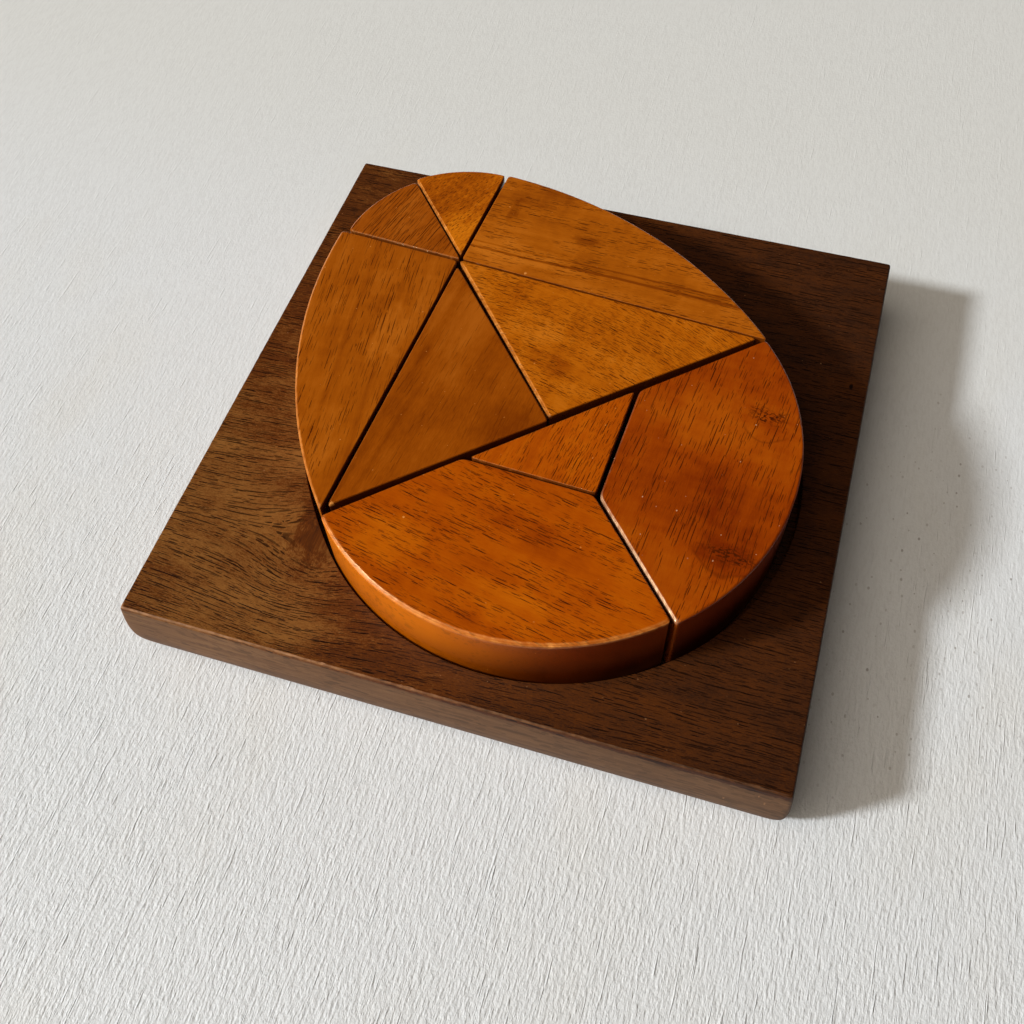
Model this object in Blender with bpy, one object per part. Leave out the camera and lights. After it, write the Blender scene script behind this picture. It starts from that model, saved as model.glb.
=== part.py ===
"""Egg tangram puzzle: nine loose hardwood pieces in the egg-shaped recess of a square tray.

Metres, +Z up. The origin is the middle of the tray's underside, +X runs along the front edge and
+Y towards the back. The egg lies near the tray's diagonal, with its tip at the back left.
"""
import math

import bmesh
import bpy
from mathutils import Matrix, Vector

# The tray, one solid board
TRAY_SIDE = 0.140
TRAY_THICKNESS = 0.018
TRAY_CORNER_RADIUS = 0.0012
TRAY_LOWER_ROUND = 0.0035
TRAY_UPPER_ROUND = 0.0005
TRAY_COLOUR = (0.130, 0.062, 0.028)

# The recess, an egg of the same construction as the puzzle, a little larger
RECESS_RADIUS = 0.0539
RECESS_DEPTH = 0.0053
RECESS_CENTRE = (0.0067, -0.0088)
RECESS_TURN = math.radians(41.6)

# The puzzle: every arc and cut follows from the radius of the egg's round end
EGG_RADIUS = 0.0522
EGG_CENTRE = (0.0064, -0.0102)
EGG_TURN = math.radians(41.2)
SMALL_TRIANGLE_HALF = 0.0203
TIP_TRIM = 0.0005
PIECE_THICKNESS = 0.020
PIECE_RISE = 0.015
EDGE_EASE = 0.0006

# How each loose piece lies: what sawing and sanding took off every side, its turn in degrees,
# and how far it has slid across and along the egg's axis
LIE = {
    "left_tip_sector": (0.00030, 41.20, (0.00058, -0.00097)),
    "right_tip_sector": (0.00038, 41.20, (0.00037, 0.00002)),
    "left_side_piece": (0.00027, 41.37, (-0.00002, -0.00032)),
    "right_side_piece": (0.00022, 41.04, (0.00006, -0.00030)),
    "left_triangle": (0.00080, 41.64, (0.00001, 0.00004)),
    "right_triangle": (0.00048, 41.08, (-0.00084, 0.00108)),
    "small_triangle": (0.00036, 42.40, (-0.00010, 0.00006)),
    "lower_left_piece": (0.00035, 42.61, (-0.00044, 0.00049)),
    "lower_right_piece": (0.00034, 42.33, (-0.00016, -0.00036)),
}

# Stain of each piece
COLOURS = {
    "left_tip_sector": (0.33, 0.080, 0.008),
    "right_tip_sector": (0.45, 0.125, 0.006),
    "left_side_piece": (0.38, 0.110, 0.007),
    "right_side_piece": (0.40, 0.115, 0.007),
    "left_triangle": (0.30, 0.080, 0.007),
    "right_triangle": (0.45, 0.150, 0.012),
    "small_triangle": (0.42, 0.105, 0.006),
    "lower_left_piece": (0.45, 0.100, 0.003),
    "lower_right_piece": (0.38, 0.075, 0.003),
}

# Fineness of the curves
ARC_STEP = math.radians(3)
ROUND_STEPS = 4
EASE_STEPS = 2
SHARP_ANGLE = math.radians(30)

ROOT2 = math.sqrt(2)


def arc(centre, radius, start, end):
    """Points along a circular arc from one angle to another in degrees, both ends included."""
    span = math.radians(end - start)
    steps = max(1, round(abs(span) / ARC_STEP))
    angles = [math.radians(start) + span * i / steps for i in range(steps + 1)]
    return [centre + radius * Vector((math.cos(a), math.sin(a))) for a in angles]


def egg_outline(radius):
    """The egg: a half circle, two flanks of twice its radius and a tip that closes them smoothly."""
    left, right = Vector((-radius, 0)), Vector((radius, 0))
    lower = arc(Vector((0, 0)), radius, 180, 360)
    right_flank = arc(left, 2 * radius, 0, 45)
    tip = arc(Vector((0, radius)), (2 - ROOT2) * radius, 45, 135)
    left_flank = arc(right, 2 * radius, 135, 180)
    return lower[:-1] + right_flank[:-1] + tip[:-1] + left_flank[:-1]


def piece_outlines():
    """The nine pieces' outlines about the egg's centre, anticlockwise, before the cuts take their share."""
    r = EGG_RADIUS
    half = SMALL_TRIANGLE_HALF
    tip_radius = (2 - ROOT2) * r - TIP_TRIM
    centre, crown = Vector((0, 0)), Vector((0, r))
    left, right = Vector((-r, 0)), Vector((r, 0))
    small_left, small_right, small_point = Vector((-half, 0)), Vector((half, 0)), Vector((0, -half))
    return {
        "left_tip_sector": [crown] + arc(crown, tip_radius, 90, 135),
        "right_tip_sector": [crown] + arc(crown, tip_radius, 45, 90),
        "left_side_piece": [left, crown] + arc(right, 2 * r, 135, 180)[:-1],
        "right_side_piece": [crown, right] + arc(left, 2 * r, 0, 45)[1:],
        "left_triangle": [left, centre, crown],
        "right_triangle": [centre, right, crown],
        "small_triangle": [small_left, small_point, small_right],
        "lower_left_piece": arc(centre, r, 180, 270) + [small_point, small_left],
        "lower_right_piece": arc(centre, r, 270, 360) + [small_right, small_point],
    }


def cut_back(outline, distance):
    """The outline with every side moved inwards by one distance, as a saw cut leaves it."""
    moved = []
    for i, corner in enumerate(outline):
        first = (corner - outline[i - 1]).normalized()
        second = (outline[(i + 1) % len(outline)] - corner).normalized()
        normals = (first + second).orthogonal()
        moved.append(corner + normals * distance / (1 + first.dot(second)))
    return moved


def rounded_square(half, radius):
    """A square of the given half side with rounded corners, anticlockwise."""
    reach = half - radius
    points = []
    for quarter in range(4):
        corner = Matrix.Rotation(quarter * math.pi / 2, 2) @ Vector((reach, reach))
        for step in range(ROUND_STEPS + 1):
            angle = (quarter + step / ROUND_STEPS) * math.pi / 2
            points.append(corner + radius * Vector((math.cos(angle), math.sin(angle))))
    return points


def at_height(outline, height):
    """A flat outline lifted to a height."""
    return [(point.x, point.y, height) for point in outline]


def wood(name, colour, roughness):
    """A stained and lacquered wood."""
    material = bpy.data.materials.new(name)
    material.use_nodes = True
    shader = material.node_tree.nodes["Principled BSDF"]
    shader.inputs["Base Color"].default_value = (*colour, 1)
    shader.inputs["Roughness"].default_value = roughness
    shader.inputs["Metallic"].default_value = 0
    return material


def solid_through(name, outlines):
    """A closed solid through a stack of matching outlines, bridged one to the next and capped."""
    bm = bmesh.new()
    rings = []
    for outline in outlines:
        verts = [bm.verts.new(point) for point in outline]
        rings.append([bm.edges.new((verts[i - 1], verts[i])) for i in range(len(verts))])
    for lower, upper in zip(rings, rings[1:]):
        bmesh.ops.bridge_loops(bm, edges=lower + upper)
    bmesh.ops.edgeloop_fill(bm, edges=rings[0])
    bmesh.ops.edgeloop_fill(bm, edges=rings[-1])
    bmesh.ops.recalc_face_normals(bm, faces=bm.faces)
    mesh = bpy.data.meshes.new(name)
    bm.to_mesh(mesh)
    bm.free()
    mesh.shade_smooth()
    mesh.set_sharp_from_angle(angle=SHARP_ANGLE)
    solid = bpy.data.objects.new(name, mesh)
    bpy.context.scene.collection.objects.link(solid)
    return solid


def tray_outlines():
    """The board's sections from its rounded-over lower edge to its lightly broken upper edge."""
    sections = []
    for step in range(ROUND_STEPS + 1):
        angle = step / ROUND_STEPS * math.pi / 2
        sections.append((TRAY_LOWER_ROUND * (1 - math.sin(angle)), TRAY_LOWER_ROUND * (1 - math.cos(angle))))
    for step in range(EASE_STEPS + 1):
        angle = step / EASE_STEPS * math.pi / 2
        drop = TRAY_UPPER_ROUND * (1 - math.sin(angle))
        sections.append((TRAY_UPPER_ROUND * (1 - math.cos(angle)), TRAY_THICKNESS - drop))
    return [
        at_height(rounded_square(TRAY_SIDE / 2 - inset, TRAY_CORNER_RADIUS), height)
        for inset, height in sections
    ]


def make_tray():
    """The board, with the recess routed down from its top face."""
    tray = solid_through("tray", tray_outlines())
    tray.data.materials.append(wood("walnut", TRAY_COLOUR, 0.45))
    outline = egg_outline(RECESS_RADIUS)
    floor = TRAY_THICKNESS - RECESS_DEPTH
    cutter = solid_through("recess_cutter", [at_height(outline, floor), at_height(outline, 2 * TRAY_THICKNESS)])
    cutter.location = (*RECESS_CENTRE, 0)
    cutter.rotation_euler.z = RECESS_TURN
    cutter.hide_render = True
    cutter.display_type = "WIRE"
    recess = tray.modifiers.new("recess", "BOOLEAN")
    recess.operation = "DIFFERENCE"
    recess.object = cutter
    return tray


def make_piece(name, outline, egg):
    """One loose piece: sawn from a board, all its edges eased, standing proud of the tray."""
    taken, turn, slid = LIE[name]
    outline = cut_back(outline, taken)
    middle = sum(outline, Vector((0, 0))) / len(outline)
    outline = [point - middle for point in outline]
    piece = solid_through(name, [at_height(outline, 0), at_height(outline, PIECE_THICKNESS)])
    turn = math.radians(turn) - EGG_TURN
    place = Matrix.Rotation(turn, 2) @ middle + Vector(slid)
    piece.parent = egg
    piece.location = (*place, 0)
    piece.rotation_euler.z = turn
    piece.data.materials.append(wood(name + "_wood", COLOURS[name], 0.35))
    ease = piece.modifiers.new("eased edges", "BEVEL")
    ease.width = EDGE_EASE
    ease.segments = EASE_STEPS
    ease.limit_method = "ANGLE"
    ease.angle_limit = SHARP_ANGLE
    return piece


for old in list(bpy.data.objects):
    bpy.data.objects.remove(old)

make_tray()
egg = bpy.data.objects.new("egg", None)
bpy.context.scene.collection.objects.link(egg)
egg.location = (*EGG_CENTRE, TRAY_THICKNESS + PIECE_RISE - PIECE_THICKNESS)
egg.rotation_euler.z = EGG_TURN
for name, outline in piece_outlines().items():
    make_piece(name, outline, egg)
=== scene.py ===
import math

import bpy
import numpy as np
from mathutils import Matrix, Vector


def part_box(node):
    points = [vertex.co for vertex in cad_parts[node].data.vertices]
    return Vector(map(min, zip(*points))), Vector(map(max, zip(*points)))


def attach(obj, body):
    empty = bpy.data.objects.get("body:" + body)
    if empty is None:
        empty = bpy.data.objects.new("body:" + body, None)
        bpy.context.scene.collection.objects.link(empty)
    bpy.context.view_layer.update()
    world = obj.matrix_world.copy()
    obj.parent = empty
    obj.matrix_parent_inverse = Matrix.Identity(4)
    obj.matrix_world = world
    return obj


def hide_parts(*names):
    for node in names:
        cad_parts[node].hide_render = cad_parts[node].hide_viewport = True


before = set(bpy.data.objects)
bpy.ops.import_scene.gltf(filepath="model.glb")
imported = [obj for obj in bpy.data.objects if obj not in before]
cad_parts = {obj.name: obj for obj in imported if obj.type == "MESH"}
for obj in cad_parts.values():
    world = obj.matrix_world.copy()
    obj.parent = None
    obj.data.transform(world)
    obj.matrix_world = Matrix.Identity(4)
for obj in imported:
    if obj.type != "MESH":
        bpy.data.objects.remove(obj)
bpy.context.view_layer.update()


# The tray
# A square board of dark, open-pored hardwood with an egg-shaped recess routed into its top. Its sides belly
# out and round under; its upper edge is broken with sandpaper and, in front, rubbed pale over a dark strip.

MM = 0.001
ROOT2 = math.sqrt(2)
TRAY_HALF, _, TRAY_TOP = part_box("tray")[1]
TRAY_UPPER_CORNER = 0.2 * MM
TRAY_LOWER_CORNER = 0.9 * MM
TRAY_CORNER_OUT = 0.35 * MM
TRAY_BELLY = 0.85 * MM
TRAY_BELLY_HEIGHT = 8.0 * MM
TRAY_ROUND_UNDER = 3.8 * MM
TRAY_UPPER_ROUND = 0.45 * MM
RECESS_RADIUS = 54.0 * MM
RECESS_DEPTH = 5.3 * MM
RECESS_CENTRE = MM * np.array([6.7, -8.8])
RECESS_TURN = math.radians(41.6)
RECESS_RIM = 0.1 * MM
FRONT_BAND = 1.0 * MM
RUBBED_PLACES = (-1.0, -0.5, 0.0, 1.0)
RUBBED_THERE = (1.0, 0.7, 0.4, 0.08)
RUBBED_OVER_EDGE = (1, 1, 1, 1, 0.6, 0.2, 0)
STRIP_LEFT = 0.6 * MM
STRIP_RIGHT = 1.5 * MM
STRIP_FADE = 0.25 * MM
STRIP_MARK = 0.35


def arc(centre, radius, start, end, count):
    """Points of a circle, centre + radius (cos a, sin a), for angles a from start to end in degrees."""
    a = np.radians(np.linspace(start, end, count))
    return np.asarray(centre) + radius * np.stack([np.cos(a), np.sin(a)], axis=1)


def egg(radius, grow=0.0):
    """The egg about the centre of its round end, anticlockwise: a half circle, two flanks of twice its
    radius and a tip arc that joins them. Growing every radius alike gives the parallel outline."""
    return np.concatenate([
        arc((0, 0), radius + grow, start=180, end=360, count=241)[:-1],
        arc((-radius, 0), 2 * radius + grow, start=0, end=45, count=121)[:-1],
        arc((0, radius), (2 - ROOT2) * radius + grow, start=45, end=135, count=121)[:-1],
        arc((radius, 0), 2 * radius + grow, start=135, end=180, count=121)[:-1],
    ])


def turned(points, angle):
    """Flat points turned anticlockwise about the origin: (x cos - y sin, x sin + y cos)."""
    c, s = math.cos(angle), math.sin(angle)
    return points @ np.array([[c, s], [-s, c]])


def edge_depths(points, cuts, curves):
    """How far points lie inside each edge of a convex outline: its straight cuts, each a start and an end
    with the inside on the left, then its curves, each a centre and a radius."""
    depths = []
    for start, end in cuts:
        along = np.subtract(end, start) / math.dist(start, end)
        depths.append(along[0] * (points[:, 1] - start[1]) - along[1] * (points[:, 0] - start[0]))
    for centre, radius in curves:
        depths.append(radius - np.hypot(*(points - centre).T))
    return np.stack(depths)


def depth_inside(points, cuts, curves, softness):
    """How far points lie inside a convex outline: the least of their depths inside its edges. The least is a
    soft one, -s log(sum exp(-d / s)), so the outline's corners come out rounded."""
    return -softness * np.logaddexp.reduce(edge_depths(points, cuts, curves) / -softness, axis=0)


def level_line(middle, unit, cuts, curves, softness, depth):
    """The points at a given depth inside a convex outline, one in each direction from its middle, found by
    halving the range of distances that holds them."""
    near = np.zeros(len(unit))
    far = np.full(len(unit), 4 * TRAY_HALF)
    for _ in range(40):
        half = (near + far) / 2
        inside = depth_inside(middle + unit * half[:, None], cuts, curves, softness) > depth
        near = np.where(inside, half, near)
        far = np.where(inside, far, half)
    return middle + unit * near[:, None]


def distance_along(directions, outline):
    """How far a closed outline lies from the origin in each direction, read between its points by angle."""
    angle = np.arctan2(outline[:, 1], outline[:, 0])
    order = np.argsort(angle)
    return np.interp(directions, angle[order], np.hypot(*outline[order].T), period=2 * math.pi)


def waves(position, longest, shortest, seed):
    """An even wobble round a closed path, mostly between -1 and 1: twice the mean of sines whose lengths run
    from longest to shortest, each with its own phase. Position runs from 0 to the path's length."""
    dice = np.random.default_rng(seed)
    length = position[-1] + position[1] - position[0]
    counts = np.unique(np.geomspace(length / longest, length / shortest, 12).astype(int))
    phases = dice.uniform(0, 2 * math.pi, len(counts))
    return np.sin(2 * math.pi * np.outer(position / length, counts) + phases).mean(axis=1) * 2


def nicks(position, count, width, seed):
    """Small dents along a path: a sum of bells exp(-(d / w)^2) of random place, width and depth, up to 1."""
    dice = np.random.default_rng(seed)
    places = dice.uniform(0, position[-1], count)
    widths = width * dice.uniform(0.4, 1.6, count)
    depths = dice.uniform(0.2, 1.0, count) ** 2
    return np.minimum((np.exp(-((position[:, None] - places) / widths) ** 2) * depths).sum(axis=1), 1)


def travelled(path):
    """How far along a path each of its points lies."""
    return np.concatenate([[0], np.cumsum(np.hypot(*np.diff(path, axis=0).T))])


def at_height(flat, height):
    """Flat points lifted to one height, or each to its own."""
    return np.column_stack([flat, np.broadcast_to(height, len(flat))])


def closed_surface(name, rings, **marks):
    """A closed skin through rings of points, (rings, points round, 3), that share one way round. The first
    and the last ring close on their own middle. Each mark, from 0 to 1, is kept on the points for the
    finish."""
    count, around = rings.shape[:2]
    middles = np.stack([rings[0].mean(axis=0), rings[-1].mean(axis=0)])
    points = np.concatenate([rings.reshape(-1, 3), middles])
    index = np.arange(count * around).reshape(count, around)
    ahead = np.roll(index, -1, axis=1)
    quads = np.stack([index[:-1], ahead[:-1], ahead[1:], index[1:]], axis=-1).reshape(-1, 4)
    first = np.stack([ahead[0], index[0], np.full(around, count * around)], axis=-1)
    last = np.stack([index[-1], ahead[-1], np.full(around, count * around + 1)], axis=-1)
    corners = np.concatenate([quads.ravel(), first.ravel(), last.ravel()])
    sizes = np.concatenate([np.full(len(quads), 4), np.full(2 * around, 3)])
    mesh = bpy.data.meshes.new(name)
    mesh.vertices.add(len(points))
    mesh.vertices.foreach_set("co", points.ravel())
    mesh.loops.add(len(corners))
    mesh.loops.foreach_set("vertex_index", corners)
    mesh.polygons.add(len(sizes))
    mesh.polygons.foreach_set("loop_start", np.concatenate([[0], np.cumsum(sizes)[:-1]]))
    mesh.polygons.foreach_set("loop_total", sizes)
    for mark, amount in marks.items():
        kept = mesh.attributes.new(mark, "FLOAT", "POINT")
        kept.data.foreach_set("value", np.append(amount.ravel(), [0, 0]))
    mesh.update(calc_edges=True)
    mesh.shade_smooth()
    piece = bpy.data.objects.new(name, mesh)
    bpy.context.scene.collection.objects.link(piece)
    return piece


def tray_surface():
    """The board as one profile swept round the middle of the recess: up from the recess floor, over the rim,
    out across the top to the square's edge, over that edge as a quarter circle, which wobbles and is nicked,
    down the side, which swells out as a quarter sine and turns under as a quarter ellipse, and in below.
    The square's corners grow rounder on the way down, and its front left corner stands out.
    It marks the front edge as worn, less and less to the right, and the sides as wall: weakly over the strip
    of stain under the upper edge, which widens to the right, and fully below it."""
    corners = TRAY_HALF * np.array([(-1, -1), (1, -1), (1, 1), (-1, 1)])
    corners[0, 1] -= TRAY_CORNER_OUT
    sides = list(zip(corners, np.roll(corners, -1, axis=0)))
    corner_angles = np.arctan2(*(corners - RECESS_CENTRE).T[::-1])
    even_angles = np.linspace(-math.pi, math.pi, 900, endpoint=False)
    near_corners = np.add.outer(corner_angles, np.radians(np.linspace(-2.0, 2.0, 65))).ravel()
    directions = np.sort(np.concatenate([even_angles, near_corners]))
    unit = np.stack([np.cos(directions), np.sin(directions)], axis=1)

    def on_egg(grow):
        """The recess's outline, grown, as one point in each direction."""
        reach = distance_along(directions, turned(egg(RECESS_RADIUS, grow), RECESS_TURN))
        return RECESS_CENTRE + unit * reach[:, None]

    def on_square(inset, height):
        """The board's outline at a height, moved inwards, as one point in each direction."""
        softness = np.interp(height, (0, TRAY_TOP), (TRAY_LOWER_CORNER, TRAY_UPPER_CORNER))
        return level_line(RECESS_CENTRE, unit, sides, (), softness, inset)

    edge = on_square(0, TRAY_TOP)
    outward = (edge - on_square(2 * TRAY_UPPER_ROUND, TRAY_TOP)) / (2 * TRAY_UPPER_ROUND)
    position = travelled(edge)
    rightward = edge[:, 0] / TRAY_HALF
    front = np.clip((FRONT_BAND - TRAY_HALF - edge[:, 1]) / FRONT_BAND, 0, 1)
    dents = front * nicks(position, count=90, width=0.5 * MM, seed=4)
    wobble = 0.1 * waves(position, longest=30 * MM, shortest=3 * MM, seed=6)
    broken = TRAY_UPPER_ROUND * (1 + wobble + 0.4 * dents)
    patchy = 0.5 * waves(position, longest=40 * MM, shortest=1.5 * MM, seed=5)
    rubbed = np.interp(rightward, RUBBED_PLACES, RUBBED_THERE) * (front * (1 + patchy) + 0.5 * dents)
    uneven = 0.2 * waves(position, longest=20 * MM, shortest=1 * MM, seed=7)
    strip = np.interp(rightward, (-1, 1), (STRIP_LEFT, STRIP_RIGHT)) * (1 + uneven)

    floor = TRAY_TOP - RECESS_DEPTH
    wall, rim = on_egg(0), on_egg(RECESS_RIM)
    top_edge = edge - outward * broken[:, None]
    from_middle = wall - RECESS_CENTRE
    rings = [at_height(RECESS_CENTRE + from_middle * share, floor) for share in (0.2, 0.6, 0.9, 0.99, 1.0)]
    rings += [at_height(wall, z) for z in np.linspace(floor + 0.1 * MM, TRAY_TOP - RECESS_RIM, 6)]
    for a in np.linspace(0, math.pi / 2, 5)[1:]:
        flat = wall + (rim - wall) * (1 - math.cos(a))
        rings.append(at_height(flat, TRAY_TOP - RECESS_RIM * (1 - math.sin(a))))
    for share in (0.01, 0.04, 0.1, 0.2, 0.35, 0.5, 0.65, 0.8, 0.9, 0.96, 0.99):
        rings.append(at_height(rim + (top_edge - rim) * share, TRAY_TOP))
    rings.append(at_height(top_edge - outward * 0.04 * MM, TRAY_TOP))
    first_worn = len(rings)
    for a in np.linspace(0, math.pi / 2, len(RUBBED_OVER_EDGE)):
        flat = edge - outward * (broken * (1 - math.sin(a)))[:, None]
        rings.append(at_height(flat, TRAY_TOP - broken * (1 - math.cos(a))))
    first_side = len(rings)
    side_height = TRAY_TOP - TRAY_BELLY_HEIGHT
    for drop in (*np.linspace(0.65 * MM, 2.2 * MM, 12), *np.linspace(3.0 * MM, side_height, 8)):
        swell = TRAY_BELLY * math.sin(drop / side_height * math.pi / 2)
        rings.append(at_height(on_square(-swell, TRAY_TOP - drop), TRAY_TOP - drop))
    for a in np.linspace(0, math.pi / 2, 13)[1:]:
        height = TRAY_BELLY_HEIGHT * (1 - math.sin(a))
        rings.append(at_height(on_square(TRAY_ROUND_UNDER * (1 - math.cos(a)) - TRAY_BELLY, height), height))
    underside = on_square(TRAY_ROUND_UNDER - TRAY_BELLY, 0)
    rings += [at_height(underside * share, 0) for share in (0.97, 0.8, 0.5, 0.2)]

    rings = np.stack(rings)
    worn = np.zeros(rings.shape[:2])
    worn[first_worn:first_side] = np.outer(RUBBED_OVER_EDGE, np.clip(rubbed, 0, 1))
    side = np.zeros_like(worn)
    side[first_side - 3:] = STRIP_MARK
    below_strip = np.clip((TRAY_TOP - rings[first_side:, :, 2] - strip) / STRIP_FADE, 0, 1)
    side[first_side:] += (1 - STRIP_MARK) * below_strip
    return closed_surface("tray_board", rings, worn=worn, wall=side)


class Nodes:
    """A node tree that is put together step by step."""

    def __init__(self, tree):
        self.tree = tree

    def node(self, kind, **settings):
        """A node of one kind, with its settings."""
        made = self.tree.nodes.new(kind)
        for name, value in settings.items():
            setattr(made, name, value)
        return made

    def put(self, node, **inputs):
        """Joins a node's inputs to other nodes' outputs, or sets them."""
        for name, value in inputs.items():
            self.set_input(node.inputs[name.replace("_", " ")], value)

    def set_input(self, socket, value):
        """Joins one input to an output, or sets it."""
        if isinstance(value, bpy.types.NodeSocket):
            self.tree.links.new(value, socket)
        else:
            socket.default_value = value

    def maths(self, operation, *values):
        """One step of arithmetic."""
        made = self.node("ShaderNodeMath", operation=operation)
        for socket, value in zip(made.inputs, values):
            self.set_input(socket, value)
        return made.outputs[0]

    def vector(self, operation, *values):
        """One step of arithmetic on places."""
        made = self.node("ShaderNodeVectorMath", operation=operation)
        for socket, value in zip(made.inputs, values):
            self.set_input(socket, value)
        return made.outputs["Value" if operation in ("LENGTH", "DOT_PRODUCT") else "Vector"]

    def split(self, place):
        """A place's three parts."""
        made = self.node("ShaderNodeSeparateXYZ")
        self.put(made, Vector=place)
        return made.outputs

    def joined(self, x, y, z):
        """A place from its three parts."""
        made = self.node("ShaderNodeCombineXYZ")
        self.put(made, X=x, Y=y, Z=z)
        return made.outputs["Vector"]

    def between(self, value, low, high, to_low=0.0, to_high=1.0):
        """A smooth step: to_low below low, to_high above high."""
        made = self.node("ShaderNodeMapRange", interpolation_type="SMOOTHSTEP")
        for socket, setting in zip(made.inputs, (value, low, high, to_low, to_high)):
            self.set_input(socket, setting)
        return made.outputs["Result"]

    def sum(self, *values):
        """The sum of several values."""
        total = values[0]
        for value in values[1:]:
            total = self.maths("ADD", total, value)
        return total

    def most(self, *values):
        """The greatest of several values."""
        greatest = values[0]
        for value in values[1:]:
            greatest = self.maths("MAXIMUM", greatest, value)
        return greatest

    def times(self, value, factor):
        """A value scaled by a number or by another value."""
        return self.maths("MULTIPLY", value, factor)

    def minus(self, value, taken):
        """One value less another."""
        return self.maths("SUBTRACT", value, taken)

    def swing(self, value, amount):
        """A noise of 0 to 1 turned into a swing of plus or minus half the amount."""
        return self.maths("MULTIPLY_ADD", value, amount, -0.5 * amount)

    def mixed(self, share, first, second):
        """Two colours mixed."""
        made = self.node("ShaderNodeMix", data_type="RGBA")
        self.set_input(made.inputs["Factor"], share)
        for socket, colour in zip(made.inputs[6:8], (first, second)):
            self.set_input(socket, (*colour, 1) if isinstance(colour, tuple) else colour)
        return made.outputs[2]


NOISE_STEP = (17.31, 31.77, 11.13)
TONE_PLACES = (0.2, 0.5, 0.8)


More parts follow.
